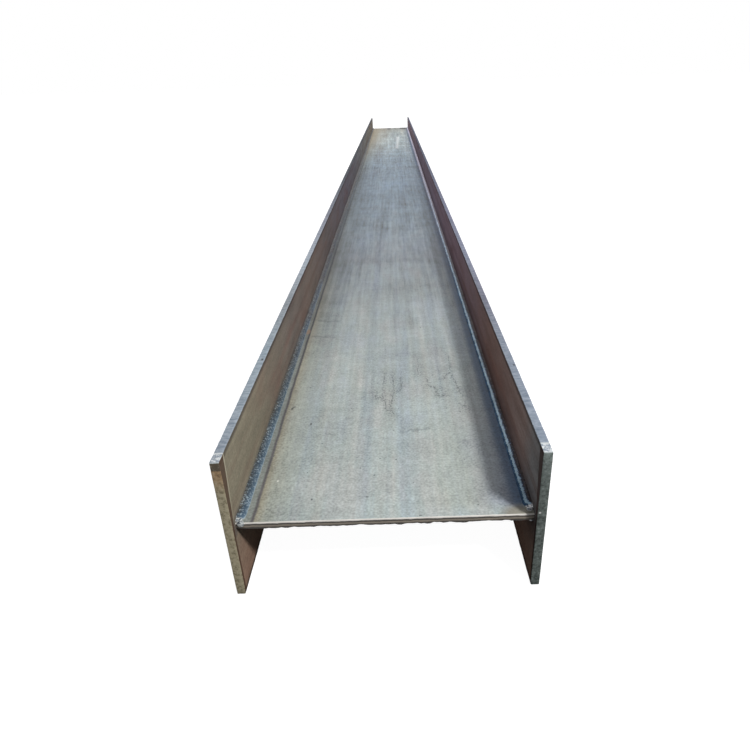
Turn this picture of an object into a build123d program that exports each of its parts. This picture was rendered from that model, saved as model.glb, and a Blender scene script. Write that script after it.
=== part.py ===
from build123d import *
import os

# Driving dimensions of the beam, in millimetres
beam_length = 6000.0
section_depth = 400.0
flange_width = 215.0
flange_thickness = 12.0
web_thickness = 8.0

# The web plate stops a little inside the flange ends, and the flange edges keep a small melted radius
web_setback = 12.0
flange_edge_radius = 1.0

# Fillet welds: the leg on each plate, the bulge of the weld face and the taper at each end of a run
weld_flange_leg = 6.0
weld_web_leg = 11.0
weld_bulge = 0.9
weld_taper = 11.0
weld_nose_share = 0.34

# Distance from the end of the web plate to the end of a weld run, on each side of the beam
left_weld_gap = 2.0
right_weld_gap = 9.0

# Places that follow from the dimensions: X across the depth, Y along the length, Z up
web_level = flange_width / 2
flange_middle = (section_depth - flange_thickness) / 2
flange_face = section_depth / 2 - flange_thickness
web_half_length = beam_length / 2 - web_setback

os.makedirs("parts", exist_ok=True)


# Flange plates: strips standing on edge, with the four long edges rounded
for name, side in (("left_flange", -1), ("right_flange", 1)):
    with BuildPart() as flange:
        with BuildSketch(Plane.XZ):
            with Locations((side * flange_middle, flange_width / 2)):
                RectangleRounded(flange_thickness, flange_width, flange_edge_radius)
        extrude(amount=beam_length / 2, both=True)
    flange.part.label = name
    export_step(flange.part, f"parts/{name}.step")


# Web plate: its long edges butt against the flanges
with BuildPart() as web:
    with BuildSketch(Plane.XZ):
        with Locations((0, web_level)):
            Rectangle(2 * flange_face, web_thickness)
    extrude(amount=web_half_length, both=True)
web.part.label = "web_plate"
export_step(web.part, "parts/web_plate.step")


def weld_section(side, level, share):
    # Section of a weld: both legs from the root corner, closed by a bulging face, drawn at a share of full size
    root = Vector(side * flange_face, web_level + level * web_thickness / 2)
    web_toe = root - Vector(side * weld_web_leg * share, 0)
    flange_toe = root + Vector(0, level * weld_flange_leg * share)
    outward = Vector(-side * weld_flange_leg, level * weld_web_leg).normalized()
    crown = (web_toe + flange_toe) / 2 + outward * weld_bulge * share
    with BuildLine() as outline:
        Line(flange_toe, root)
        Line(root, web_toe)
        ThreePointArc(web_toe, crown, flange_toe)
    make_face(outline.edges())


# Weld runs: a long even bead in each inside corner, which rounds off to a small nose at both ends
for side_name, side, gap in (("left", -1, left_weld_gap), ("right", 1, right_weld_gap)):
    for level_name, level in (("upper", 1), ("lower", -1)):
        name = f"{level_name}_{side_name}_weld"
        run_end = web_half_length - gap
        with BuildPart() as weld:
            with BuildSketch(Plane.XZ):
                weld_section(side, level, 1.0)
            extrude(amount=run_end - weld_taper, both=True)
            for end in (-1, 1):
                for along in (0, 0.5, 1):
                    share = 1 - (1 - weld_nose_share) * along**2
                    with BuildSketch(Plane.XZ.offset(end * (run_end - weld_taper * (1 - along)))):
                        weld_section(side, level, share)
                loft()
        weld.part.label = name
        export_step(weld.part, f"parts/{name}.step")
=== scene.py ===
import math
from functools import partial

import bmesh
import bpy
from mathutils import Matrix, Vector


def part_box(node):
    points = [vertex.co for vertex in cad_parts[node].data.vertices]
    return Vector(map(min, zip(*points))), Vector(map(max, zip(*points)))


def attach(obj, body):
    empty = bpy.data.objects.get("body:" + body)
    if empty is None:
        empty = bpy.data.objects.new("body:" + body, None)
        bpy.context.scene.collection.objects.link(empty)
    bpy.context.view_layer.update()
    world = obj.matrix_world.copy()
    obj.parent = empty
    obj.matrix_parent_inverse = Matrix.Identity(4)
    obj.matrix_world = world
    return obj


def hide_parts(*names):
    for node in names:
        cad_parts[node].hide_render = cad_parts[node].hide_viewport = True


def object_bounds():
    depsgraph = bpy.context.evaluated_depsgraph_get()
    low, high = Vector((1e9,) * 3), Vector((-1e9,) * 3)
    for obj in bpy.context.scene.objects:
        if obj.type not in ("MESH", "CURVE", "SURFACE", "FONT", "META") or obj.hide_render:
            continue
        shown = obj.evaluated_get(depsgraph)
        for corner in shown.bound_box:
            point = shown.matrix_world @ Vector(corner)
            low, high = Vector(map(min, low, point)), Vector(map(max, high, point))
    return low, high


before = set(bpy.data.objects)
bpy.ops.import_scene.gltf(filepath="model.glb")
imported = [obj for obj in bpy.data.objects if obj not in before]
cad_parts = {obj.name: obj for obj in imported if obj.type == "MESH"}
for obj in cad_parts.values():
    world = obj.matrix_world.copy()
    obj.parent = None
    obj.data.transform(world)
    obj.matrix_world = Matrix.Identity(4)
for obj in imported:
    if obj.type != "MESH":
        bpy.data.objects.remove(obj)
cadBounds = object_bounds()
print("frame loaded:", ", ".join(sorted(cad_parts)))


# Small helpers

hair = 1e-5  # metres: places closer than this are the same place


def hexColour(text):  # sRGB hex to the linear colour that a socket takes
    channels = [int(text[i:i + 2], 16) / 255 for i in (1, 3, 5)]
    return tuple(c / 12.92 if c <= 0.04045 else ((c + 0.055) / 1.055) ** 2.4 for c in channels) + (1.0,)


def rampOf(stops):  # places and sRGB hex colours to the stops of a colour ramp
    return [(place, hexColour(colour)) for place, colour in stops]


def perMm(size):  # pattern scale for a feature this many millimetres wide
    return 1000.0 / size


def addNode(tree, kind, inputs=None, stops=None, **settings):
    # A socket given as an input is linked, and a value is set
    node = tree.nodes.new("ShaderNode" + kind)
    for name, value in settings.items():
        setattr(node, name, value)
    for key, value in (inputs or {}).items():
        socket = node.inputs[key] if isinstance(key, int) else None
        socket = socket or next(i for i in node.inputs if i.name == key and not i.is_unavailable)
        if isinstance(value, bpy.types.NodeSocket):
            tree.links.new(value, socket)
        else:
            socket.default_value = value
    if stops:
        elements = node.color_ramp.elements
        while len(elements) < len(stops):
            elements.new(0.5)
        for element, (place, colour) in zip(elements, stops):
            element.position = place
            element.color = colour
    return next((output for output in node.outputs if not output.is_unavailable), node)


def noisePatterns(add, place, rows):  # each row: name, sizes in millimetres, detail and roughness
    patterns = {}
    for name, sizes, detail, roughness in rows:
        scaled = add("Mapping", {"Vector": place, "Scale": tuple(perMm(size) for size in sizes)})
        settings = {"Vector": scaled, "Scale": 1.0, "Detail": float(detail), "Roughness": roughness}
        patterns[name] = add("TexNoise", settings)
    return patterns


def layOver(add, colour, layers):  # lays each colour over the last, by its own share
    for share, layer in layers:
        layer = hexColour(layer) if isinstance(layer, str) else layer
        colour = add("Mix", {"Factor": share, "A": colour, "B": layer}, data_type="RGBA")
    return colour


def newMaterial(name):
    material = bpy.data.materials.new(name)
    material.use_nodes = True
    material.node_tree.nodes.clear()
    return material, material.node_tree


def deselectAll():
    if bpy.context.mode != "OBJECT":
        bpy.ops.object.mode_set(mode="OBJECT")
    bpy.ops.object.select_all(action="DESELECT")


def makeActive(piece):
    deselectAll()
    piece.select_set(True)
    bpy.context.view_layer.objects.active = piece


def startPiece(name):  # the primitive just added becomes the piece, with its place in its mesh
    piece = bpy.context.object
    piece.name = name
    piece.data.name = name
    bpy.ops.object.transform_apply(location=True, rotation=True, scale=True)
    return piece


def editPiece(piece, kind="EDGE"):
    makeActive(piece)
    bpy.ops.object.mode_set(mode="EDIT")
    bpy.ops.mesh.select_mode(type=kind)


def pick(piece, test, kind="EDGE"):  # selects vertices or edges by a test of their places, and counts them
    mesh = bmesh.from_edit_mesh(piece.data)
    for item in list(mesh.faces) + list(mesh.edges) + list(mesh.verts):
        item.select_set(False)
    items = mesh.verts if kind == "VERT" else mesh.edges
    count = 0
    for item in items:
        places = [item.co] if kind == "VERT" else [v.co for v in item.verts]
        if test(*places):
            item.select_set(True)
            count += 1
    mesh.select_flush_mode()
    bmesh.update_edit_mesh(piece.data)
    return count


def cutAcross(y):  # a ring of edges round the piece at this place along the beam
    bpy.ops.mesh.select_all(action="SELECT")
    bpy.ops.mesh.bisect(plane_co=(0, y, 0), plane_no=(0, 1, 0))


def addRows(piece, fromY, toY, cuts):
    # Divides the lengthwise edges of one stretch, by each number of cuts in turn
    def lengthwise(a, b):
        start, stop = sorted((a.y, b.y))
        return stop - start > hair and fromY - hair < start and stop < toY + hair

    for number in cuts:
        pick(piece, lengthwise)
        bpy.ops.mesh.subdivide(number_cuts=number)


def weigh(piece, name, weight):  # vertex group from a function of place
    group = piece.vertex_groups.new(name=name)
    for vertex in piece.data.vertices:
        amount = weight(vertex.co)
        if amount > 0:
            group.add([vertex.index], amount, "REPLACE")
    return group.name


def roughen(piece, group, size, depth, direction="NORMAL", level=0.5, rough=2):
    # Moves the group's surface by noise of this size and depth
    texture = bpy.data.textures.new(piece.name + "_" + group, "CLOUDS")
    texture.noise_scale = size
    texture.noise_depth = rough
    modifier = piece.modifiers.new(group, "DISPLACE")
    modifier.texture = texture
    modifier.texture_coords = "LOCAL"
    modifier.direction = direction
    modifier.strength = depth
    modifier.mid_level = level
    modifier.vertex_group = group
    applyModifier(piece, modifier)
    bpy.data.textures.remove(texture)


def applyModifier(piece, modifier):
    makeActive(piece)
    bpy.ops.object.modifier_apply(modifier=modifier.name)


def finishPiece(piece, node, material, smoothAngle=35):
    makeActive(piece)
    bpy.ops.object.shade_smooth_by_angle(angle=math.radians(smoothAngle))
    piece.data.materials.clear()
    piece.data.materials.append(material)
    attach(piece, "root")
    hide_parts(node)
    piece.data.calc_loop_triangles()
    print(piece.name, len(piece.data.loop_triangles), "triangles")


# The frame's own sizes, in metres
leftLow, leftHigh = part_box("left_flange")
rightLow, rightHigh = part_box("right_flange")
webLow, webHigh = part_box("web_plate")
nearEnd = leftLow.y
farEnd = leftHigh.y
flangeTop = leftHigh.z
webMiddle = (webLow.z + webHigh.z) / 2
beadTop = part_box("upper_left_weld")[1].z


# Materials

plateFinish = {
    "sheen": 0.25,
    "streakBands": ((0.34, "#9DAAB3"), (0.5, "#A8B2B0"), (0.66, "#ADB0A9")),  # blue, green-grey and warm
    "blooms": ((0.36, "#A3ABB2"), (0.5, "#A7B1AD"), (0.64, "#AFAEAB")),  # blue, green and pink
    # tone along the beam: partly the scale's own, partly painted light, shade and sky reflection
    "toneAndLightAlongBeam": (
        (0.0, "#FFFFFF"), (0.06, "#FFFFFF"), (0.13, "#E0E1E5"), (0.20, "#B9BECC"), (0.27, "#A8B6C9"),
        (0.34, "#97AAC2"), (0.43, "#A0B4CE"), (0.56, "#C6D8F0"), (0.72, "#ECF5FF"), (1.0, "#F6F2ED")),
    "toeLine": 0.0216,  # from the flange face to the dark line where the slag came off
    "tan": "#9C8762",
    "olive": "#9B9B89",
    "blue": "#3E5672",
    # blue-violet heat tint, also painted shade in the flange's shadow near the end
    "violet": "#878FA8",
    "slagStrip": "#868E8B",
    "toeNear": "#4C4A54",
    "toeFar": "#2E2826",
    # painted shade beside the flanges, where they keep light off the web
    "shade": "#44545E",
    "scuff": "#4C5254",
    "paleStreak": "#EDF0F0",
    "stain": "#6E6A60",
    "farTan": "#9A8C72",
    "farEndDark": "#1C1B1C",
    # its bright top is partly a painted highlight on the arris
    "cutEnd": (  # from the dross at the bottom to the bright arris
        (0.0, "#2E2B29"), (0.26, "#4A4641"), (0.36, "#8A8276"), (0.55, "#9C9386"), (0.62, "#4A453F"),
        (0.78, "#4E4943"), (0.86, "#E4E0D8")),
    "spots": (  # place, reach across and along in metres, colour
        ((-0.174, -2.402), (0.005, 0.014), "#957A66"),
        ((-0.149, -2.908), (0.0016, 0.002), "#E8E8E0"),
        ((-0.097, -2.948), (0.0014, 0.002), "#3C4044"),
        ((-0.159, -2.720), (0.0020, 0.004), "#4A4A48"),
        ((-0.121, -2.768), (0.0020, 0.004), "#4A4A48"),
        ((0.171, -2.986), (0.024, 0.016), "#857F70")),
    "scuffStrokes": (  # flaked lines, each from point to point along it
        ((-0.004, -2.603), (-0.006, -2.666), (-0.006, -2.697), (0.001, -2.733), (0.013, -2.745)),
        ((0.011, -2.609), (0.013, -2.667), (0.008, -2.721)),
        ((0.024, -2.624), (0.026, -2.665), (0.017, -2.670)),
        ((-0.017, -2.674), (-0.019, -2.695), (-0.007, -2.698)),
        ((0.073, -2.632), (0.075, -2.656), (0.092, -2.671), (0.086, -2.687), (0.104, -2.691)),
        ((0.121, -2.541), (0.119, -2.606), (0.101, -2.635)),
        ((0.120, -2.624), (0.129, -2.683), (0.133, -2.697)),
        ((0.060, -2.554), (0.057, -2.616)),
        ((0.126, -2.723), (0.133, -2.732))),
    "paleStreakPath": ((0.072, 1.96), (0.054, 1.08)),
    "farMarks": (  # ends of each dark stretch, and its reach with lengths along the beam at a seventh
        ((-0.017, 2.92), (-0.012, 2.92), 0.018), ((0.048, 2.94), (0.049, 2.94), 0.009),
        ((0.116, 2.92), (0.156, 2.92), 0.018)),
    "smudges": (
        ((0.022, -2.796), (0.066, -2.792)), ((-0.165, -2.338), (-0.113, -2.348)),
        ((-0.163, -2.427), (-0.113, -2.433))),
}


def strokeDistance(add, place, points, flatten):
    # Distance from a line of points on the plate, with lengths along the beam counted at this share
    flat = add("VectorMath", {0: place, 1: (1, flatten, 0)}, operation="MULTIPLY")
    nearest = None
    for first, last in zip(points, points[1:]):
        start = Vector((first[0], first[1] * flatten, 0))
        run = Vector((last[0], last[1] * flatten, 0)) - start
        offset = add("VectorMath", {0: flat, 1: start}, operation="SUBTRACT")
        along = add("VectorMath", {0: offset, 1: run / run.length_squared}, operation="DOT_PRODUCT")
        along = add("Math", {0: along.node.outputs["Value"], 1: 0.0}, operation="ADD", use_clamp=True)
        reached = add("VectorMath", {0: run, "Scale": along}, operation="SCALE")
        gap = add("VectorMath", {0: offset, 1: reached}, operation="DISTANCE").node.outputs["Value"]
        nearest = gap if nearest is None else add("Math", {0: nearest, 1: gap}, operation="MINIMUM")
    return nearest


def millScalePlate(name):
    # Hot-rolled plate that keeps its mill scale: pale grey oxide with a soft sheen, drawn into streaks by
    # rolling, bluer where it cooled slowly, flaked in places, and tinted by the heat of the welds. Its
    # tone along the beam is partly its own and partly painted light, shade and sky reflection, and painted
    # shade lies beside the flanges
    s = plateFinish
    material, tree = newMaterial(name)
    add = partial(addNode, tree)
    place = add("TexCoord").node.outputs["Object"]
    x, y, z = add("SeparateXYZ", {"Vector": place}).node.outputs
    fromNear = add("Math", {0: y, 1: nearEnd}, operation="SUBTRACT")
    tone = add("MapRange", {"Value": fromNear, "From Max": farEnd - nearEnd})

    # Patterns by their real size along X, Y and Z; the finest are coarser than real, so that they show
    patterns = noisePatterns(add, place, (
        ("streaks", (34, 1300, 34), 5, 0.62), ("thinStreaks", (8, 420, 8), 3, 0.5),
        ("patches", (90, 300, 90), 5, 0.6), ("blotches", (42, 130, 42), 4, 0.6),
        ("crossMarks", (150, 45, 150), 5, 0.7), ("drawn", (11, 75, 11), 4, 0.6),
        ("broad", (26, 260, 26), 4, 0.65), ("crossBands", (260, 150, 260), 4, 0.65),
        ("mottle", (12, 12, 12), 4, 0.65), ("grain", (3.2, 3.2, 3.2), 2, 0.5),
        ("wander", (40, 40, 40), 4, 0.6)))
    mottle = patterns["mottle"]

    colour = add("ValToRGB", {"Fac": patterns["streaks"]}, stops=rampOf(s["streakBands"]))
    bloom = add("ValToRGB", {"Fac": patterns["blotches"]}, stops=rampOf(s["blooms"]))
    layers = [(0.45, bloom)]

    # Heat of the welds and painted shade: distance in from the flange face, with an edge that wanders
    outX = add("Math", {0: x}, operation="ABSOLUTE")
    inward = add("Math", {0: outX, 1: -1.0, 2: webHigh.x - 0.0015}, operation="MULTIPLY_ADD")
    distance = add("Math", {0: patterns["wander"], 1: 0.003, 2: inward}, operation="MULTIPLY_ADD")
    narrowing = {"Value": fromNear, "From Min": 0.05, "From Max": 0.34, "To Min": 0.001, "To Max": 0.003}
    narrowed = add("Math", {0: distance, 1: add("MapRange", narrowing)}, operation="ADD")
    distances = {"left": narrowed, "right": distance}
    onSide = {
        "left": add("Math", {0: x, 1: 0.0}, operation="LESS_THAN"),
        "right": add("Math", {0: x, 1: 0.0}, operation="GREATER_THAN")}
    weldStart = add("MapRange", {"Value": y, "From Min": webLow.y + 0.006, "From Max": webLow.y + 0.024})
    onSide["right"] = add("Math", {0: onSide["right"], 1: weldStart}, operation="MULTIPLY")
    for side, key, full, gone, share, (start, startShare), (stop, stopShare) in (
            ("left", "olive", 0.022, 0.090, 0.60, (0, 1), (1, 1)),
            ("left", "tan", 0.021, 0.041, 0.42, (0, 1), (1, 1)),
            ("right", "olive", 0.060, 0.170, 0.40, (0.1, 1), (0.4, 0)),
            # The violet tint is partly heat tint and partly painted shade, strongest in the flange's shadow
            # near the end
            ("right", "violet", 0.018, 0.090, 0.40, (0.05, 1.5), (0.4, 0.3)),
            ("right", "blue", 0.0165, 0.0340, 0.88, (0, 1), (1, 1)),
            ("left", "slagStrip", 0.0190, 0.0210, 0.80, (0.3, 1), (1, 0.4))):
        fall = {"Value": distances[side], "From Min": full, "From Max": gone, "To Min": share}
        tint = add("MapRange", fall | {"To Max": 0.0}, interpolation_type="SMOOTHSTEP")
        along = {"Value": fromNear, "From Min": start, "From Max": stop, "To Min": startShare}
        for limit in (onSide[side], add("MapRange", along | {"To Max": stopShare})):
            tint = add("Math", {0: tint, 1: limit}, operation="MULTIPLY")
        layers.append((tint, s[key]))
    fromToe = add("Math", {0: distances["left"], 1: s["toeLine"]}, operation="SUBTRACT")
    fromToe = add("Math", {0: fromToe}, operation="ABSOLUTE")
    toe = {"Value": fromToe, "From Min": 0.0003, "From Max": 0.0038, "To Min": 1.0, "To Max": 0.0}
    toeShare = add("MapRange", toe, interpolation_type="SMOOTHSTEP")
    faint = {"Value": patterns["patches"], "From Min": 0.3, "From Max": 0.55, "To Min": 0.92}
    fromEnd = add("MapRange", {"Value": fromNear, "From Min": 0.15, "From Max": 0.7})
    fainter = {"Value": fromEnd, "To Min": 0.85}
    for limit in (onSide["left"], add("MapRange", faint), add("MapRange", fainter)):
        toeShare = add("Math", {0: toeShare, 1: limit}, operation="MULTIPLY")
    toeColour = layOver(add, hexColour(s["toeNear"]), [(fromEnd, s["toeFar"])])
    layers.append((toeShare, toeColour))
    # Painted shade beside each flange, where the flanges keep light off the web; it grows along the beam
    for side, share, start in (("left", 0.42, 0.1), ("right", 0.35, 0.7)):
        shade = {"Value": inward, "From Min": 0.025, "From Max": 0.140, "To Min": share, "To Max": 0.0}
        shade = add("MapRange", shade, interpolation_type="SMOOTHSTEP")
        for none, full in ((start, 1.15), (3.6, 2.2)):
            along = add("MapRange", {"Value": fromNear, "From Min": none, "From Max": full})
            shade = add("Math", {0: shade, 1: along}, operation="MULTIPLY")
        shade = add("Math", {0: shade, 1: onSide[side]}, operation="MULTIPLY")
        layers.append((shade, s["shade"]))
    colour = layOver(add, colour, layers)
    # Tone along the beam, partly the scale's own and partly painted light, shade and sky reflection
    slowToneAndLight = add("ValToRGB", {"Fac": tone}, stops=rampOf(s["toneAndLightAlongBeam"]))
    colour = add("Mix", {"Factor": 1.0, "A": colour, "B": slowToneAndLight}, blend_type="MULTIPLY", data_type="RGBA")

    # Light and dark of the streaks, marks and grain; the drawn marks are stronger away from the near end
    drawn = add("Math", {0: patterns["drawn"], 1: 0.8, 2: -1.775}, operation="MULTIPLY_ADD")
    for key, depth in (("broad", 0.5), ("streaks", 0.9), ("crossBands", 0.75), ("thinStreaks", 0.6)):
        drawn = add("Math", {0: patterns[key], 1: depth, 2: drawn}, operation="MULTIPLY_ADD")
    further = {"Value": fromNear, "From Min": 0.3, "From Max": 1.5, "To Min": 0.25, "To Max": 1.9}
    level = add("Math", {0: drawn, 1: add("MapRange", further), 2: -0.50}, operation="MULTIPLY_ADD")
    for key, depth in (("thinStreaks", 0.28), ("patches", 0.45), ("mottle", 0.70), ("grain", 1.07),
                       ("crossMarks", 0.50)):
        level = add("Math", {0: patterns[key], 1: depth, 2: level}, operation="MULTIPLY_ADD")
    colour = add("VectorMath", {0: colour, "Scale": level}, operation="SCALE")

    # Flaked scuffs near one end: broken lines with a ragged course, faint smudges across and dark pits
    ragged = add("TexNoise", {"Vector": place, "Scale": perMm(10), "Detail": 4.0}).node.outputs["Color"]
    ragged = add("VectorMath", {0: ragged, 1: (0.5, 0.5, 0.5)}, operation="SUBTRACT")
    course = add("VectorMath", {0: ragged, 1: (0.012, 0.030, 0), 2: place}, operation="MULTIPLY_ADD")
    nearest = None
    for points in s["scuffStrokes"]:
        gap = strokeDistance(add, course, points, 0.5)
        nearest = gap if nearest is None else add("Math", {0: nearest, 1: gap}, operation="MINIMUM")
    line = {"Value": nearest, "From Min": 0.0002, "From Max": 0.0018, "To Min": 0.82, "To Max": 0.0}
    scuffed = add("MapRange", line)
    bruise = {"Value": nearest, "From Min": 0.001, "From Max": 0.010, "To Min": 0.10, "To Max": 0.0}
    bruise = add("MapRange", bruise, interpolation_type="SMOOTHSTEP")
    broken = add("TexNoise", {"Vector": place, "Scale": perMm(4), "Detail": 2.0})
    broken = add("MapRange", {"Value": broken, "From Min": 0.40, "From Max": 0.52, "To Min": 0.05})
    scuffed = add("Math", {0: scuffed, 1: broken}, operation="MULTIPLY")
    flakes = add("TexNoise", {"Vector": place, "Scale": perMm(3), "Detail": 2.0})
    flakes = add("MapRange", {"Value": flakes, "From Min": 0.54, "From Max": 0.62, "To Max": 0.55})
    around = {"Value": nearest, "From Min": 0.003, "From Max": 0.016, "To Min": 1.0, "To Max": 0.0}
    flakes = add("Math", {0: flakes, 1: add("MapRange", around)}, operation="MULTIPLY")
    for mark in (flakes, bruise):
        scuffed = add("Math", {0: scuffed, 1: mark}, operation="MAXIMUM")
    for points in s["smudges"]:
        smudge = strokeDistance(add, course, points, 1.0)
        smudge = add("MapRange", {"Value": smudge, "From Max": 0.007, "To Min": 0.42, "To Max": 0.0})
        scuffed = add("Math", {0: scuffed, 1: smudge}, operation="MAXIMUM")
    pits = add("TexNoise", {"Vector": place, "Scale": perMm(9), "Detail": 1.0})
    pits = add("MapRange", {"Value": pits, "From Min": 0.77, "From Max": 0.80, "To Max": 0.7})
    scuffed = add("Math", {0: scuffed, 1: pits}, operation="MAXIMUM")
    layers = [(scuffed, s["scuff"])]
    for middle, reach, spotColour in s["spots"]:
        away = add("VectorMath", {0: place, 1: middle + (webHigh.z,)}, operation="SUBTRACT")
        stretch = (1 / reach[0], 1 / reach[1], 1 / reach[0])
        away = add("VectorMath", {0: away, 1: stretch}, operation="MULTIPLY")
        away = add("VectorMath", {0: away}, operation="LENGTH").node.outputs["Value"]
        spot = {"Value": away, "From Min": 0.6, "From Max": 1.2, "To Min": 0.8, "To Max": 0.0}
        layers.append((add("MapRange", spot), spotColour))

    # Towards the far end: a pale bright streak, stains, and dark ragged marks at the end itself
    paleStreakPath = strokeDistance(add, place, s["paleStreakPath"], 0.3)
    paleStreakPath = {"Value": paleStreakPath, "From Min": 0.001, "From Max": 0.020, "To Min": 0.65, "To Max": 0.0}
    layers.append((add("MapRange", paleStreakPath), s["paleStreak"]))
    stain = add("Math", {0: patterns["patches"], 1: 0.8, 2: y}, operation="MULTIPLY_ADD")
    stain = {"Value": stain, "From Min": farEnd - 0.25, "From Max": farEnd + 0.2, "To Max": 0.4}
    layers.append((add("MapRange", stain), s["stain"]))
    tanLeft = add("Math", {0: patterns["streaks"], 1: 0.25, 2: x}, operation="MULTIPLY_ADD")
    tanLeft = add("MapRange", {"Value": tanLeft, "From Min": 0.15, "From Max": -0.02, "To Max": 0.7})
    tanAlong = add("MapRange", {"Value": fromNear, "From Min": 3.2, "From Max": 4.8})
    tanLeft = add("Math", {0: tanLeft, 1: tanAlong}, operation="MULTIPLY")
    layers.append((tanLeft, s["farTan"]))
    for start, stop, reach in s["farMarks"]:
        farEndDark = strokeDistance(add, place, (start, stop), 1 / 7)
        farEndDark = {"Value": farEndDark, "From Min": reach - 0.005, "From Max": reach, "To Min": 0.95}
        farEndDark = add("MapRange", farEndDark | {"To Max": 0.0})
        layers.append((farEndDark, s["farEndDark"]))

    # Flame-cut ends: bright arris, partly a painted highlight, dark drag line, tan-grey band and dark dross
    # at the bottom
    outY = add("Math", {0: y}, operation="ABSOLUTE")
    endShare = {"Value": outY, "From Min": webHigh.y - 0.0013, "From Max": webHigh.y - 0.0009}
    endShare = add("MapRange", endShare)
    height = add("Math", {0: mottle, 1: 0.0022, 2: z}, operation="MULTIPLY_ADD")
    height = add("MapRange", {"Value": height, "From Min": webLow.z - 0.001, "From Max": webHigh.z + 0.001})
    drag = add("ValToRGB", {"Fac": height}, stops=rampOf(s["cutEnd"]))
    colour = layOver(add, colour, layers + [(endShare, drag)])

    rough = {"Value": mottle, "From Min": 0.3, "From Max": 0.7, "To Min": 0.40, "To Max": 0.60}
    relief = add("Math", {0: patterns["grain"], 1: 0.5, 2: mottle}, operation="MULTIPLY_ADD")
    normal = add("Bump", {"Height": relief, "Strength": 0.35, "Distance": 0.0004})
    shader = {"Base Color": colour, "Roughness": add("MapRange", rough), "Normal": normal}
    shader = shader | {"Specular IOR Level": s["sheen"]}
    add("OutputMaterial", {"Surface": add("BsdfPrincipled", shader)})
    return material


cutFinish = {  # what both flanges share at their cut edges and ends
    "groundStrip": 0.0175,  # from the end to the step that the grinding left
    # dark line just under the cut edge
    "underEdgeLine": "#2A2B2D",
    # painted highlight along the ground step on the face
    "stripLipHighlight": "#CFC6AE",
    # painted highlight on the inner arris of the cut edge
    "arris": "#C8D2D8",
    "cleaned": "#EEF0EE",
    # painted highlight along the ground step on the top edge
    "topLipHighlight": "#E2E5E3",
    # painted shade in the nick
    "nick": "#26282B",
    "burr": "#C9D1D2",
    "mark": "#E6E6E2",
}

leftFinish = {
    # tone along the beam: partly the rust film's own, partly painted light and sky sheen
    "toneAndLightAlongBeam": (
        (0.0, "#9A927E"), (0.032, "#8C8473"), (0.05, "#857B6E"), (0.083, "#80766F"), (0.13, "#897B72"),
        (0.20, "#807674"), (0.34, "#8B838B"), (0.45, "#9A969A"), (0.56, "#AEABA8"), (1.0, "#A49C8E")),
    "rust": "#74564D",
    "lowRust": ("#AE8270", 0.55),
    "outside": "#7A7164",
    "edge": "#D0DCE8",
    # edge tone along the beam: partly the cut edge's own, partly painted light and shade
    "edgeToneAndLightAlong": (
        (0.0, "#CBC9C9"), (0.05, "#E4E5E2"), (0.083, "#D3CDC8"), (0.13, "#FFFAF6"), (0.20, "#D7CDD0"),
        (0.27, "#A8A2A4"), (0.34, "#706C6E"), (1.0, "#5E5A5A")),
    "edgeShade": "#95A3B2",
    "end": "#BCB296",
    "endShade": "#5F5747",
    "endFleck": "#CFC7B0",
    "endTop": "#4A4B46",
    "endRust": "#B08A66",
    "burr": 0.0018,
    "strip": "#5A463A",
    "lip": 0.65,
    # blue heat tint beside the weld
    "heat": "#454E59",
    "heatShare": 0.35,
    "heatReach": 0.009,
    "mark": ((-0.194, 0.020), 0.0),
    "nick": (-0.1922, -2.7347),
}

rightFinish = {
    # tone along the beam: partly the rust film's own, partly painted light and sky sheen
    "toneAndLightAlongBeam": (
        (0.0, "#7E7C7C"), (0.008, "#8E8A8A"), (0.016, "#A08A84"), (0.034, "#927A74"), (0.063, "#8C7069"),
        (0.105, "#90787C"), (0.165, "#A0858F"), (0.3, "#A48E9B"), (1.0, "#9C8894")),
    "rust": "#6A453A",
    "lowRust": ("#C0947A", 0.65),
    "outside": "#766A62",
    "edge": "#BCC9D6",
    # edge tone along the beam: partly the cut edge's own, partly painted light and shade
    "edgeToneAndLightAlong": (
        (0.0, "#D6D4D6"), (0.05, "#DBD5D7"), (0.083, "#C8BABE"), (0.13, "#E7DCE4"), (0.20, "#D8CAD6"),
        (0.34, "#B0A6B2"), (1.0, "#8A8290")),
    "edgeShade": "#8291A0",
    "end": "#707874",
    "endShade": "#2B302F",
    "endFleck": "#AAB3B0",
    "endTop": "#828C88",
    "endRust": "#7E8784",
    "burr": 0.0014,
    "strip": "#3F2E2B",
    "lip": 0.0,
    # darker towards the weld, not a blue tint
    "heat": "#2A2226",
    "heatShare": 0.45,
    "heatReach": 0.040,
    "mark": ((0.1909, 0.1238), 0.9),
    "nick": (0.1968, -2.7809),
}


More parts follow.
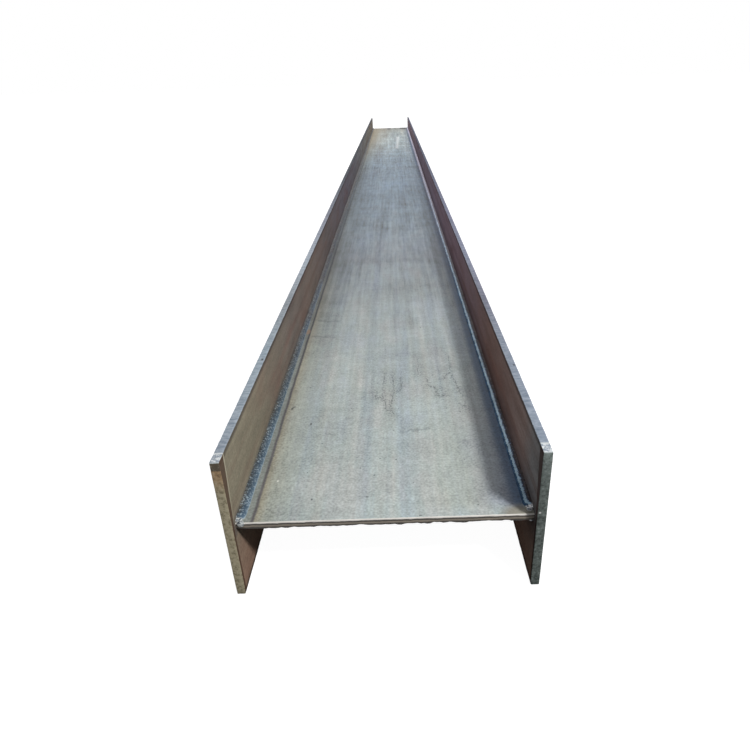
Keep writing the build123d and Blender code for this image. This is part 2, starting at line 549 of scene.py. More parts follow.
def rustFilmPlate(name, finish):
    # Hot-rolled strip with a thin rust film: dull olive to red-brown faces with lengthwise streaks, pale
    # blue-grey flame-cut edges with drag lines across them, and speckled cut ends with a strip ground clean
    # beside them
    cut = cutFinish
    halfWidth = flangeTop / 2
    material, tree = newMaterial(name)
    add = partial(addNode, tree)
    place = add("TexCoord").node.outputs["Object"]
    x, y, z = add("SeparateXYZ", {"Vector": place}).node.outputs
    outX = add("Math", {0: x}, operation="ABSOLUTE")
    outY = add("Math", {0: y}, operation="ABSOLUTE")
    fromWeb = add("Math", {0: z, 1: halfWidth}, operation="SUBTRACT")
    fromWeb = add("Math", {0: fromWeb}, operation="ABSOLUTE")
    tone = add("MapRange", {"Value": y, "From Min": nearEnd, "From Max": farEnd})

    # Patterns by their real size along X, Y and Z; the finest are coarser than real, so that they show
    patterns = noisePatterns(add, place, (
        ("mottle", (16, 16, 16), 5, 0.65), ("grain", (3, 3, 3), 2, 0.5),
        ("streaks", (30, 900, 16), 5, 0.65), ("patches", (60, 190, 60), 4, 0.55),
        ("drawn", (30, 110, 22), 4, 0.6), ("speckle", (4.5, 4.5, 4.5), 4, 0.7),
        ("dragLines", (14, 5, 14), 4, 0.7)))
    mottle = patterns["mottle"]
    speckle = patterns["speckle"]

    # Faces: rust film, a band beside the welds (blue heat tint on the left flange, darker on the right),
    # and a dark line just under the cut edge
    # Tone along the beam, partly the film's own colour and partly painted light and sky sheen
    colour = add("ValToRGB", {"Fac": tone}, stops=rampOf(finish["toneAndLightAlongBeam"]))
    layers = []
    for key, start, full, share in (("streaks", 0.45, 0.68, 0.45), ("patches", 0.48, 0.66, 0.4)):
        rusty = {"Value": patterns[key], "From Min": start, "From Max": full, "To Max": share}
        layers.append((add("MapRange", rusty), finish["rust"]))
    lowColour, lowShare = finish["lowRust"]
    lowFace = add("MapRange", {"Value": z, "From Min": webMiddle, "From Max": 0.02, "To Max": lowShare})
    layers.append((lowFace, lowColour))
    # A band beside the welds: blue heat tint on the left flange, darker towards the weld on the right
    toe = beadTop - webMiddle
    hot = {"Value": fromWeb, "From Min": toe, "From Max": toe + finish["heatReach"], "To Max": 0.0}
    hot = add("MapRange", hot | {"To Min": finish["heatShare"]}, interpolation_type="SMOOTHSTEP")
    layers.append((hot, finish["heat"]))
    outside = {"Value": outX, "From Min": rightLow.x + 0.004, "From Max": rightHigh.x - 0.002}
    outside = add("MapRange", outside | {"To Max": 0.8})
    layers.append((outside, finish["outside"]))
    uneven = add("Math", {0: mottle, 1: 0.003, 2: fromWeb}, operation="MULTIPLY_ADD")
    underEdgeLine = {"Value": uneven, "From Min": halfWidth - 0.0080, "From Max": halfWidth - 0.0035, "To Max": 0.62}
    layers.append((add("MapRange", underEdgeLine), cut["underEdgeLine"]))
    colour = layOver(add, colour, layers)
    level = add("Math", {0: mottle, 1: 0.50, 2: -0.19}, operation="MULTIPLY_ADD")
    for key, depth in (("patches", 0.60), ("drawn", 0.65), ("grain", 0.66)):
        level = add("Math", {0: patterns[key], 1: depth, 2: level}, operation="MULTIPLY_ADD")
    colour = add("VectorMath", {0: colour, "Scale": level}, operation="SCALE")

    # Strip ground clean at each end, flash-rusted since; it narrows down the face
    stripNarrows = 0.10
    stripAtBottom = cut["groundStrip"] - stripNarrows * flangeTop
    narrow = add("Math", {0: z, 1: stripNarrows, 2: stripAtBottom}, operation="MULTIPLY_ADD")
    narrow = add("Math", {0: narrow, 1: 0.006}, operation="MAXIMUM")
    intoStrip = add("Math", {0: outY, 1: narrow}, operation="ADD")
    intoStrip = add("Math", {0: intoStrip, 1: farEnd}, operation="SUBTRACT")
    strip = {"Value": intoStrip, "From Min": -0.0003, "From Max": 0.0004, "To Max": 0.85}
    layers = [(add("MapRange", strip), finish["strip"])]
    # Painted highlight along the step where the ground strip ends, on the face above the web
    high = {"Value": z, "From Min": webHigh.z, "From Max": webHigh.z + 0.06, "To Max": finish["lip"]}
    lip = add("Math", {0: intoStrip, 1: -0.0014, 2: 0.0015}, operation="COMPARE")
    lip = add("Math", {0: lip, 1: add("MapRange", high)}, operation="MULTIPLY")
    layers.append((lip, cut["stripLipHighlight"]))

    # Flame-cut edges: pale and pitted near the ends, darker along the beam partly in their own tone and
    # partly as painted light, with a painted highlight on the inner arris
    edgeTone = add("MapRange", {"Value": patterns["dragLines"], "From Min": 0.30, "From Max": 0.66})
    edgeColour = layOver(add, hexColour(finish["edgeShade"]), [(edgeTone, finish["edge"])])
    # Tone along the beam, partly the edge's own and partly painted light and shade
    dull = add("ValToRGB", {"Fac": tone}, stops=rampOf(finish["edgeToneAndLightAlong"]))
    edgeColour = add("Mix", {"Factor": 1.0, "A": edgeColour, "B": dull},
                     blend_type="MULTIPLY", data_type="RGBA")
    innerX = add("Math", {0: outX, 1: rightLow.x}, operation="SUBTRACT")
    # Painted highlight along the inner arris
    arris = {"Value": innerX, "From Min": 0.0016, "From Max": 0.0028, "To Min": 0.12, "To Max": 0.0}
    edgeLayers = [(add("MapRange", arris), cut["arris"])]
    stripStart = farEnd - cut["groundStrip"]
    cleaned = {"Value": outY, "From Min": stripStart - 0.0003, "From Max": stripStart + 0.0003}
    cleaned = add("MapRange", cleaned | {"To Max": 0.8})
    flaked = add("MapRange", {"Value": speckle, "From Min": 0.45, "From Max": 0.58})
    cleaned = add("Math", {0: cleaned, 1: flaked}, operation="MULTIPLY")
    edgeLayers.append((cleaned, cut["cleaned"]))
    # Painted highlight along the step on the top edge
    topLipHighlight = add("Math", {0: outY, 1: stripStart - 0.0009, 2: 0.0010}, operation="COMPARE")
    topLipHighlight = add("Math", {0: topLipHighlight, 1: 0.7}, operation="MULTIPLY")
    edgeLayers.append((topLipHighlight, cut["topLipHighlight"]))
    edgeColour = layOver(add, edgeColour, edgeLayers)
    # Painted shade darkens the shallow nick on the top edge
    away = add("VectorMath", {0: place, 1: finish["nick"] + (flangeTop,)}, operation="DISTANCE")
    nick = {"Value": away.node.outputs["Value"], "From Min": 0.0014, "From Max": 0.0026, "To Min": 0.9}
    nick = add("MapRange", nick | {"To Max": 0.0})
    edge = {"Value": fromWeb, "From Min": halfWidth - 0.0016, "From Max": halfWidth - 0.0008}
    edge = add("MapRange", edge)
    layers += [(edge, edgeColour), (nick, cut["nick"])]

    # Cut ends: rust and scorching under the top edge, all of it speckled, with a ragged bright burr on top
    wavy = add("Math", {0: mottle, 1: 0.016, 2: z}, operation="MULTIPLY_ADD")
    rustBand = {"Value": wavy, "From Min": flangeTop - 0.040, "From Max": flangeTop - 0.012, "To Max": 0.75}
    endLayers = [(add("MapRange", rustBand), finish["endRust"])]
    topBand = {"Value": wavy, "From Min": flangeTop - 0.006, "From Max": flangeTop - 0.003, "To Max": 0.85}
    endLayers.append((add("MapRange", topBand), finish["endTop"]))
    for key, start, full, share in (("endShade", 0.52, 0.36, 0.6), ("endFleck", 0.56, 0.68, 0.4)):
        fleck = add("MapRange", {"Value": speckle, "From Min": start, "From Max": full, "To Max": share})
        endLayers.append((fleck, finish[key]))
    hanging = add("Math", {0: speckle, 1: 2 * finish["burr"], 2: z}, operation="MULTIPLY_ADD")
    burr = {"Value": hanging, "From Min": flangeTop - 0.0004, "From Max": flangeTop + 0.0002, "To Max": 0.9}
    endLayers.append((add("MapRange", burr), cut["burr"]))
    (markX, markZ), markShare = finish["mark"]
    away = add("VectorMath", {0: place, 1: (markX, nearEnd, markZ)}, operation="DISTANCE")
    mark = {"Value": away.node.outputs["Value"], "From Min": 0.0010, "From Max": 0.0019, "To Max": 0.0}
    endLayers.append((add("MapRange", mark | {"To Min": markShare}), cut["mark"]))
    endColour = layOver(add, hexColour(finish["end"]), endLayers)
    end = add("MapRange", {"Value": outY, "From Min": farEnd - 0.0012, "From Max": farEnd - 0.0007})
    colour = layOver(add, colour, layers + [(end, endColour)])

    relief = add("Math", {0: patterns["grain"], 1: 0.5, 2: mottle}, operation="MULTIPLY_ADD")
    relief = add("Mix", {"Factor": edge, "A": relief, "B": patterns["dragLines"]}, data_type="FLOAT")
    relief = add("Mix", {"Factor": end, "A": relief, "B": speckle}, data_type="FLOAT")
    normal = add("Bump", {"Height": relief, "Strength": 0.5, "Distance": 0.0008})
    rough = {"Value": mottle, "From Min": 0.3, "From Max": 0.7, "To Min": 0.6, "To Max": 0.85}
    sheen = {"Value": z, "From Min": webMiddle, "From Max": webHigh.z + 0.02, "To Max": 0.06}
    shader = {"Base Color": colour, "Roughness": add("MapRange", rough), "Normal": normal}
    shader = shader | {"Specular IOR Level": add("MapRange", sheen)}
    add("OutputMaterial", {"Surface": add("BsdfPrincipled", shader)})
    return material


leftBeadFinish = {
    "section": (  # from the web toe to the flange toe
        # the first stops are a painted highlight at the web toe, then blue heat tint
        (0.0, "#A4B0B2"), (0.10, "#8494A0"), (0.22, "#566A7B"), (0.6, "#435463"), (0.9, "#3E464C"),
        (1.0, "#4E4A42")),
    # tone along the beam: partly the weld's own, partly painted light and shade
    "toneAndLightAlongBeam": (
        (0.0, "#FFFFFF"), (0.035, "#F8F8F6"), (0.05, "#DEDAD4"), (0.083, "#DEDAD8"), (0.12, "#D8D4D6"),
        (0.20, "#A8A2A8"), (0.34, "#A09A9C"), (1.0, "#8E8884")),
    "flecks": "#A3B2BA",
    "fleckShare": 0.65,
    "brown": "#665F57",
    "brownShare": 0.75,
    "far": ("#6E6C6C", 0.5),
    "crater": ("#4E565E", "#BCC0BE"),
    "wander": 0.28,
    "ragged": 0.0,
    "sheen": 0.1,
}

rightBeadFinish = {
    "section": (
        # blue heat tint, a painted highlight along the crown, then darker towards the flange toe
        (0.0, "#3E5672"), (0.22, "#466888"), (0.39, "#48688A"), (0.46, "#D8F2FF"), (0.68, "#CBE4F8"),
        (0.78, "#34425E"), (0.87, "#32282C"), (1.0, "#40302E")),
    # tone along the beam: partly the weld's own, partly painted light and shade
    "toneAndLightAlongBeam": ((0.0, "#B4BABE"), (0.012, "#D2D8DC"), (0.03, "#FFFFFF"), (1.0, "#FFFFFF")),
    "flecks": "#9AACBE",
    "fleckShare": 0.15,
    "brown": "#3A4250",
    "brownShare": 0.2,
    # paler far along: partly the weld's tint, partly painted highlight
    "far": ("#E8DCF2", 0.66),
    # bare crater metal, pushed to white as a painted highlight
    "crater": ("#3A4458", "#FFFFFF"),
    "wander": 0.20,
    "ragged": 0.50,
    "sheen": 0.05,
}


def weldMetal(name, finish, node):
    # Weld metal as laid by machine: close ripples with dark blue heat tint, cleaner where the slag came
    # off, and a bright crater at each end of the run. Across the bead the colour holds a painted highlight,
    # at the web toe on the left and along the crown on the right, and the right bead darkens towards its
    # flange toe
    material, tree = newMaterial(name)
    add = partial(addNode, tree)
    place = add("TexCoord").node.outputs["Object"]
    y, z = add("SeparateXYZ", {"Vector": place}).node.outputs[1:]
    flecks = add("TexNoise", {"Vector": place, "Scale": perMm(2.8), "Detail": 3.0, "Roughness": 0.6})
    patches = add("TexNoise", {"Vector": place, "Scale": perMm(70), "Detail": 3.0})
    wander = add("TexNoise", {"Vector": place, "Scale": perMm(12), "Detail": 3.0})
    fromNear = add("Math", {0: y, 1: nearEnd}, operation="SUBTRACT")
    fromWeb = add("Math", {0: z, 1: flangeTop / 2}, operation="SUBTRACT")
    fromWeb = add("Math", {0: fromWeb}, operation="ABSOLUTE")
    upBead = {"Value": fromWeb, "From Min": webHigh.z - webMiddle, "From Max": beadTop - webMiddle}
    upBead = upBead | {"To Min": -finish["wander"] / 2, "To Max": 1 - finish["wander"] / 2}
    upBead = add("MapRange", upBead, clamp=False)
    upBead = add("Math", {0: wander, 1: finish["wander"], 2: upBead}, operation="MULTIPLY_ADD")
    frayed = add("Math", {0: flecks, 1: 0.5}, operation="SUBTRACT")
    upBead = add("Math", {0: frayed, 1: finish["ragged"], 2: upBead}, operation="MULTIPLY_ADD")
    colour = add("ValToRGB", {"Fac": upBead}, stops=rampOf(finish["section"]))
    brown = {"Value": patches, "From Min": 0.42, "From Max": 0.66, "To Max": finish["brownShare"]}
    brown = add("MapRange", brown)
    fromEnd = add("MapRange", {"Value": fromNear, "From Min": 0.25, "From Max": 0.9})
    brown = add("Math", {0: brown, 1: fromEnd}, operation="MULTIPLY")  # the near stretch keeps its blue
    layers = [(brown, finish["brown"])]
    # Far along the bead: partly its own tint, partly painted light and shade
    farColour, farShare = finish["far"]
    further = add("MapRange", {"Value": fromNear, "From Min": 0.8, "From Max": 3.0, "To Max": farShare})
    layers.append((further, farColour))
    bright = {"Value": flecks, "From Min": 0.50, "From Max": 0.66, "To Max": finish["fleckShare"]}
    colour = layOver(add, colour, layers + [(add("MapRange", bright), finish["flecks"])])
    # Tone along the beam, partly the weld's own and partly painted light and shade
    tone = add("MapRange", {"Value": fromNear, "From Max": farEnd - nearEnd})
    dull = add("ValToRGB", {"Fac": tone}, stops=rampOf(finish["toneAndLightAlongBeam"]))
    colour = add("Mix", {"Factor": 1.0, "A": colour, "B": dull}, blend_type="MULTIPLY", data_type="RGBA")
    uneven = {"Value": wander, "From Min": 0.3, "From Max": 0.7, "To Min": 0.72, "To Max": 1.28}
    colour = add("VectorMath", {0: colour, "Scale": add("MapRange", uneven)}, operation="SCALE")
    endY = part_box(node)[1].y
    outY = add("Math", {0: y}, operation="ABSOLUTE")
    # Crater at each end of the run; on the right bead its white is partly a painted highlight
    crater = {"Value": outY, "From Min": endY - 0.0065, "From Max": endY - 0.0045, "To Max": 0.95}
    pocked = add("MapRange", {"Value": flecks, "From Min": 0.40, "From Max": 0.52})
    dark, bare = finish["crater"]
    craterColour = layOver(add, hexColour(dark), [(pocked, bare)])
    colour = layOver(add, colour, [(add("MapRange", crater), craterColour)])
    normal = add("Bump", {"Height": flecks, "Strength": 0.4, "Distance": 0.0005})
    rough = {"Value": flecks, "From Min": 0.3, "From Max": 0.7, "To Min": 0.5, "To Max": 0.3}
    shader = {"Base Color": colour, "Roughness": add("MapRange", rough), "Normal": normal}
    shader = shader | {"Metallic": finish["sheen"] / 2, "Specular IOR Level": finish["sheen"]}
    add("OutputMaterial", {"Surface": add("BsdfPrincipled", shader)})
    return material


plateMaterial = millScalePlate("hot_rolled_plate_mill_scale")
leftMaterial = rustFilmPlate("flame_cut_strip_olive_rust", leftFinish)
rightMaterial = rustFilmPlate("flame_cut_strip_red_rust", rightFinish)
leftBeadMaterial = weldMetal("weld_metal_part_cleaned", leftBeadFinish, "upper_left_weld")
rightBeadMaterial = weldMetal("weld_metal_blue_tint", rightBeadFinish, "upper_right_weld")
print("materials made")


# Flange plates: flame-cut strips, ground back for a short stretch at each end

flangeShape = {
    "edgeRadius": 0.001,
    "groundDepth": 0.0004,
    "groundStep": (0.0004, 0.0018),  # rings that hold the step's edge, past the ground strip
    "nickDepth": 0.0007,
    "nickReach": (0.0022, 0.0042),
    "fineStretch": 0.6,  # this far from each end the rows are close together
    "cutRoughness": 0.0007,
    "faceRoughness": 0.0003,
}


def makeFlange(name, node, material, nick):
    s = flangeShape
    ground = cutFinish["groundStrip"]
    stepEnd = ground + s["groundStep"][-1]
    low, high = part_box(node)
    deselectAll()
    bpy.ops.mesh.primitive_cube_add(size=1, location=(low + high) / 2, scale=high - low)
    piece = startPiece(name)
    editPiece(piece)
    bpy.ops.mesh.select_all(action="SELECT")
    bpy.ops.mesh.bevel(offset=s["edgeRadius"], segments=2, affect="EDGES")
    # Strips down the faces and over the edges
    pick(piece, lambda a, b: abs(a.z - b.z) > 0.1)
    bpy.ops.mesh.subdivide(number_cuts=15)
    pick(piece, lambda a, b: abs(a.x - b.x) > 0.005)
    bpy.ops.mesh.subdivide(number_cuts=3)
    # Rings where the ground strip ends, and where the rows change
    for end, inward in ((low.y, 1), (high.y, -1)):
        for along in (ground, ground + s["groundStep"][0], stepEnd, s["fineStretch"]):
            cutAcross(end + inward * along)
    addRows(piece, low.y + 0.002, low.y + ground, (3,))
    addRows(piece, high.y - ground, high.y - 0.002, (3,))
    addRows(piece, low.y + stepEnd, low.y + s["fineStretch"], (11, 11))
    addRows(piece, high.y - s["fineStretch"], high.y - stepEnd, (11, 11))
    addRows(piece, low.y + s["fineStretch"], high.y - s["fineStretch"], (19, 19))
    # On the top edge the ground strip lies a little lower, and a knock has left a nick
    bpy.ops.mesh.select_mode(type="VERT")
    onTop = high.z - s["edgeRadius"] * 1.2
    for end, inward in ((low.y, 1), (high.y, -1)):
        pick(piece, lambda p: p.z > high.z - hair and 0.0015 < (p.y - end) * inward < ground + hair, "VERT")
        bpy.ops.transform.translate(value=(0, 0, -s["groundDepth"]))
    acrossNick, alongNick = s["nickReach"]

    def inNick(p):
        return p.z > onTop and abs(p.x - nick[0]) < acrossNick and abs(p.y - nick[1]) < alongNick

    pick(piece, inNick, "VERT")
    bpy.ops.transform.translate(value=(0, 0, -s["nickDepth"]))
    deselectAll()
    cutFaces = weigh(piece, "cut", lambda p: float(p.z > onTop or p.z < low.z + s["edgeRadius"] * 1.2))
    roughen(piece, cutFaces, 0.007, -s["cutRoughness"], level=0.0)
    faces = weigh(piece, "faces", lambda p: 1.0)
    roughen(piece, faces, 0.03, -s["faceRoughness"], level=0.0)
    finishPiece(piece, node, material)


makeFlange("left_flange_plate", "left_flange", leftMaterial, leftFinish["nick"])
makeFlange("right_flange_plate", "right_flange", rightMaterial, rightFinish["nick"])


# Web plate: flat plate with a rolled-over top arris and dross under its cut ends

webShape = {
    "arris": 0.0012,
    "strips": 46,
    "fineStretch": 0.3,
    "drossDrop": 0.0046,
    "endRoughness": 0.0010,
}


def makeWeb(name, node, material):
    s = webShape
    low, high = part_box(node)
    deselectAll()
    bpy.ops.mesh.primitive_cube_add(size=1, location=(low + high) / 2, scale=high - low)
    piece = startPiece(name)
    editPiece(piece)
    pick(piece, lambda a, b: abs(a.x - b.x) > 0.1 and a.z > high.z - hair and b.z > high.z - hair)
    bpy.ops.mesh.bevel(offset=s["arris"], segments=3, affect="EDGES")
    pick(piece, lambda a, b: abs(a.z - b.z) > 0.003)
    bpy.ops.mesh.subdivide(number_cuts=3)
    pick(piece, lambda a, b: abs(a.x - b.x) > 0.1)
    bpy.ops.mesh.subdivide(number_cuts=s["strips"] * 2 - 1)
    for end, inward in ((low.y, 1), (high.y, -1)):
        for along in (0.003, s["fineStretch"]):
            cutAcross(end + inward * along)
    addRows(piece, low.y + 0.003, low.y + s["fineStretch"], (5, 4))
    addRows(piece, high.y - s["fineStretch"], high.y - 0.003, (5, 4))
    addRows(piece, low.y + s["fineStretch"], high.y - s["fineStretch"], (9, 19))
    deselectAll()

    def fromEnd(p):
        return min(p.y - low.y, high.y - p.y)

    lower = weigh(piece, "dross", lambda p: float(p.z < low.z + hair and fromEnd(p) < 0.0035))
    roughen(piece, lower, 0.008, s["drossDrop"], direction="Z", level=0.75, rough=3)
    ends = weigh(piece, "ends", lambda p: float(fromEnd(p) < 0.002))
    roughen(piece, ends, 0.009, s["endRoughness"], direction="Y")
    finishPiece(piece, node, material)


makeWeb("web_plate_rolled", "web_plate", plateMaterial)


# Weld beads: one ripple is shaped, repeated along the run, and its ends rounded off

beadShape = {
    "pitch": 0.0045,
    "columns": 10,
    "rows": 4,
    "bulge": 0.0011,
    "rippleHeight": 0.0002,
    "sweep": 0.0028,  # how far the crown of a ripple trails its toes
    "bite": 0.0001,  # the toes are set this deep in the plates
    "taper": 0.011,
    "noseShare": 0.34,
    "noseSteps": 4,
    "lumps": 0.0007,
    "wander": 0.0016,
    "startLumps": {  # middle and radius of the weld metal heaped at the end of a run
        "upper_left_weld": ((-0.1820, -2.9872, 0.1095), 0.0050),
        "upper_right_weld": ((0.1830, -2.9808, 0.1130), 0.0034),
        "lower_right_weld": ((0.1852, -2.9862, 0.1008), 0.0026)},
}


def makeBead(name, node, side, level, material):
    s = beadShape
    low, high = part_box(node)
    faceX = high.x if side > 0 else low.x
    faceZ = low.z if level > 0 else high.z
    root = Vector((faceX + side * s["bite"], 0, faceZ - level * s["bite"]))
    webToe = Vector((low.x if side > 0 else high.x, 0, root.z))
    flangeToe = Vector((root.x, 0, high.z if level > 0 else low.z))
    chord = flangeToe - webToe
    outward = Vector((-side * abs(chord.z), 0, level * abs(chord.x))).normalized()
    startY = low.y + s["taper"]
    run = high.y - low.y - 2 * s["taper"]
    count = round(run / s["pitch"])
    pitch = run / count
    # A flat grid, one ripple long, with a column for each point of the section
    deselectAll()
    gridMiddle = (0.5, startY + pitch / 2, 0)
    bpy.ops.mesh.primitive_grid_add(
        x_subdivisions=s["columns"], y_subdivisions=s["rows"], size=1, location=gridMiddle)
    piece = startPiece(name)
    editPiece(piece, "VERT")
    bpy.ops.mesh.select_all(action="SELECT")
    bpy.ops.transform.resize(value=(1, pitch, 1), center_override=gridMiddle)
    for row in range(1, s["rows"]):  # each ripple rises to its crest, then drops to the next
        lift = s["rippleHeight"] * row / (s["rows"] - 1)
        rowY = startY + row * pitch / s["rows"]
        pick(piece, lambda p: abs(p.y - rowY) < hair and 0.01 < p.x < 0.99, "VERT")
        bpy.ops.transform.translate(value=outward * lift)
    for column in range(s["columns"] + 1):  # each column goes to its place on the bulging face
        along = column / s["columns"]
        arch = 1 - (2 * along - 1) ** 2
        target = webToe + chord * along + outward * s["bulge"] * arch
        pick(piece, lambda p: abs(p.x - along) < 0.02, "VERT")
        move = Vector((target.x - along, s["sweep"] * arch, target.z))
        bpy.ops.transform.translate(value=move)
        if column < s["columns"]:
            bpy.ops.mesh.hide(unselected=False)
    bpy.ops.mesh.reveal(select=False)
    # The two legs, down to the root
    for toe in (webToe, flangeToe):
        bpy.ops.mesh.select_mode(type="EDGE")
        pick(piece, lambda *ends: all(math.hypot(p.x - toe.x, p.z - toe.z) < hair for p in ends))
        bpy.ops.mesh.extrude_edges_move(TRANSFORM_OT_translate={"value": root - toe})
    bpy.ops.mesh.select_all(action="SELECT")
    bpy.ops.mesh.remove_doubles(threshold=hair / 10)
    deselectAll()
    array = piece.modifiers.new("ripples", "ARRAY")
    array.count = count
    array.use_relative_offset = False
    array.use_constant_offset = True
    array.constant_offset_displace = (0, pitch, 0)
    array.use_merge_vertices = True
    array.merge_threshold = hair
    applyModifier(piece, array)
    # Rounded noses: the open ends are drawn out and shrink towards the root
    for end, outY in ((low.y, -1), (high.y, 1)):
        editPiece(piece, "EDGE")
        bpy.ops.mesh.select_all(action="DESELECT")
        bpy.ops.mesh.select_non_manifold(
            extend=False, use_wire=False, use_multi_face=False, use_non_contiguous=False, use_verts=False)
        mesh = bmesh.from_edit_mesh(piece.data)
        for edge in mesh.edges:
            if edge.select and abs(edge.verts[0].co.y - end) > 4 * s["taper"]:
                edge.select_set(False)
        mesh.select_flush_mode()
        bmesh.update_edit_mesh(piece.data)
        lastShare = 1.0
        endRoot = (root.x, end, root.z)
        for step in range(1, s["noseSteps"] + 1):
            share = 1 - (1 - s["noseShare"]) * (step / s["noseSteps"]) ** 2
            shrink = share / lastShare
            move = (0, outY * s["taper"] / s["noseSteps"], 0)
            bpy.ops.mesh.extrude_edges_move(TRANSFORM_OT_translate={"value": move})
            bpy.ops.transform.resize(value=(shrink, 1, shrink), center_override=endRoot)
            lastShare = share
        bpy.ops.transform.resize(value=(1, 0, 1), center_override=endRoot)
        bpy.ops.mesh.edge_face_add()
    bpy.ops.mesh.select_all(action="SELECT")
    bpy.ops.mesh.normals_make_consistent(inside=False)
    if node in s["startLumps"]:
        middle, radius = s["startLumps"][node]
        editPiece(piece, "VERT")
        bpy.ops.mesh.select_all(action="DESELECT")
        bpy.ops.mesh.primitive_ico_sphere_add(subdivisions=3, radius=radius, location=middle)
        bpy.ops.transform.resize(value=(1.0, 0.75, 0.9), center_override=middle)
    deselectAll()
    onPlate = 0.0005  # this close to a plate the bead lies on it
    nearRoot = 0.004

    def free(p):
        clear = abs(p.x - root.x) > onPlate and abs(p.z - root.z) > onPlate
        return min(1.0, max(0.0, (p - root).dot(outward) / nearRoot)) if clear else 0.0

    def onWeb(p):
        return float(abs(p.z - root.z) < onPlate and abs(p.x - root.x) > nearRoot)

    def onFlange(p):
        return float(abs(p.x - root.x) < onPlate and abs(p.z - root.z) > nearRoot)

    face = weigh(piece, "face", free)
    roughen(piece, face, 0.006, s["lumps"])
    roughen(piece, face, 0.05, s["lumps"])
    roughen(piece, weigh(piece, "web_toe", onWeb), 0.03, s["wander"], direction="X", rough=3)
    roughen(piece, weigh(piece, "flange_toe", onFlange), 0.03, s["wander"], direction="Z", rough=3)
    finishPiece(piece, node, material, smoothAngle=60)


for sideName, side, beadMaterial in (("left", -1, leftBeadMaterial), ("right", 1, rightBeadMaterial)):
    for levelName, level in (("upper", 1), ("lower", -1)):
        node = levelName + "_" + sideName + "_weld"
        makeBead(node + "_bead", node, side, level, beadMaterial)
print("pieces made")


# Stage: a pale floor, a soft key lamp off the near end, softboxes over the rest, low strips along the outer
# faces and an even fill

stage = {
    "floorSize": 120.0,
    "groundColour": "#3E3C38",  # what the floor throws back on to the beam
    "floorGlow": 0.965,  # plain white part of the floor's look, so that the shadow stays light
    "floorShade": 0.3,
    "keyAim": (0.135, -2.946, 0.1115),
    "towardsKey": (0.41, -0.45, 0.795),
    "keyDistance": 2.2,
    "keySize": 0.28,
    "keyPower": 41.8,
    "softboxes": (  # place, width and power of each, facing down
        ("middle_softbox", (0.0, -1.0, 1.7), 1.2, 8.2),
        ("far_softbox", (0.0, 2.5, 2.4), 1.6, 38.0)),
    "stripAway": 1.2,  # from the middle of the beam to the strip lamp on each side
    "stripPower": 14.0,
    "stripHeight": 0.18,
    "fill": 0.285,
    "fillColour": "#F0F4FA",
}


def seenDirectly(tree):  # 1 for what the camera, a reflection or a clear surface sees
    path = addNode(tree, "LightPath").node.outputs
    seen = addNode(tree, "Math", {0: path["Is Camera Ray"], 1: path["Is Glossy Ray"]}, operation="MAXIMUM")
    return addNode(tree, "Math", {0: seen, 1: path["Is Transmission Ray"]}, operation="MAXIMUM")


deselectAll()
bpy.ops.mesh.primitive_plane_add(size=stage["floorSize"], location=(0, 0, cadBounds[0][2]))
floor = startPiece("floor")
floorMaterial, tree = newMaterial("studio_floor_matt_white")
ground = addNode(tree, "BsdfDiffuse", {"Color": hexColour(stage["groundColour"])})
paper = addNode(tree, "BsdfDiffuse", {"Color": (stage["floorShade"],) * 3 + (1,)})
white = addNode(tree, "Emission", {"Color": (1, 1, 1, 1), "Strength": stage["floorGlow"]})
pale = addNode(tree, "AddShader", {0: paper, 1: white})
mixed = addNode(tree, "MixShader", {0: seenDirectly(tree), 1: ground, 2: pale})
addNode(tree, "OutputMaterial", {"Surface": mixed})
floor.data.materials.append(floorMaterial)

world = bpy.data.worlds.new("even_fill")
bpy.context.scene.world = world
world.use_nodes = True
tree = world.node_tree
tree.nodes.clear()
fillColour = hexColour(stage["fillColour"])
fillLight = addNode(tree, "Background", {"Color": fillColour, "Strength": stage["fill"]})
backdrop = addNode(tree, "Background", {"Color": (1, 1, 1, 1), "Strength": 1.0})
sky = addNode(tree, "MixShader", {0: seenDirectly(tree), 1: fillLight, 2: backdrop})
addNode(tree, "OutputWorld", {"Surface": sky})


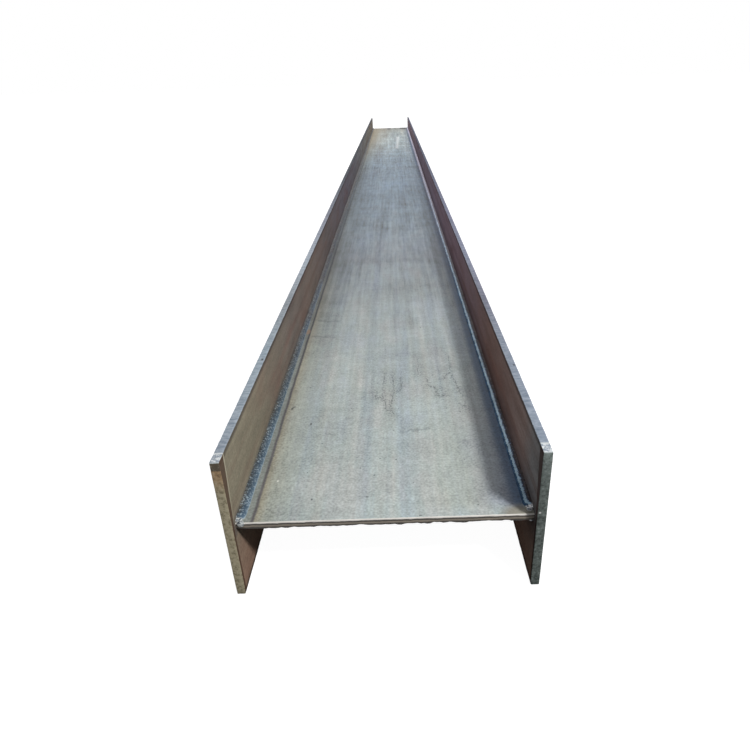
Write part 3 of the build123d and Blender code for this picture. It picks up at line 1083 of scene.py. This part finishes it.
def hangLamp(name, place, aim, power, width, height=None):  # round, or oblong where it has a height
    lamp = bpy.data.lights.new(name, "AREA")
    lamp.shape = "RECTANGLE" if height else "DISK"
    lamp.size = width
    lamp.size_y = height or width
    lamp.energy = power
    lampObject = bpy.data.objects.new(name, lamp)
    lampObject.location = place
    lampObject.rotation_euler = (place - aim).to_track_quat("Z", "Y").to_euler()
    lampObject.visible_camera = False
    bpy.context.scene.collection.objects.link(lampObject)


keyAim = Vector(stage["keyAim"])
keyPlace = keyAim + Vector(stage["towardsKey"]).normalized() * stage["keyDistance"]
hangLamp("key_lamp", keyPlace, keyAim, stage["keyPower"], stage["keySize"])
for name, place, size, power in stage["softboxes"]:
    hangLamp(name, Vector(place), Vector(place) - Vector((0, 0, 1)), power, size)
stripLength = farEnd - nearEnd - 0.1
stripLevel = flangeTop / 2 - 0.005  # the whole strip hangs below the flange tops
for name, side in (("left_strip", -1), ("right_strip", 1)):
    place = Vector((side * stage["stripAway"], 0, stripLevel))
    aim = place - Vector((side, 0, 0))
    hangLamp(name, place, aim, stage["stripPower"], stripLength, stage["stripHeight"])


# Camera: just past the near end, looking down along the beam

view = {
    "place": (0.0253, -3.5291, 0.6104),
    "down": 25.786,  # degrees below level
    "left": 0.029,
    "roll": -1.843,
    "lens": 26.927,  # millimetres, on a 36 mm wide sensor
    "shift": (-0.0325, -0.0363),  # the picture was cropped off its middle
}

camera = bpy.data.cameras.new("camera")
camera.lens = view["lens"]
camera.sensor_width = 36.0
camera.shift_x, camera.shift_y = view["shift"]
camera.clip_start = 0.01
camera.clip_end = 500.0
cameraObject = bpy.data.objects.new("camera", camera)
turn = Matrix.Rotation(math.radians(view["left"]), 3, "Z")
tip = Matrix.Rotation(math.radians(90 - view["down"]), 3, "X")
lean = Matrix.Rotation(math.radians(view["roll"]), 3, "Z")
cameraObject.matrix_world = Matrix.Translation(view["place"]) @ (turn @ tip @ lean).to_4x4()
bpy.context.scene.collection.objects.link(cameraObject)
bpy.context.scene.camera = cameraObject
bpy.context.scene.view_settings.view_transform = "Standard"
print("stage and camera set")
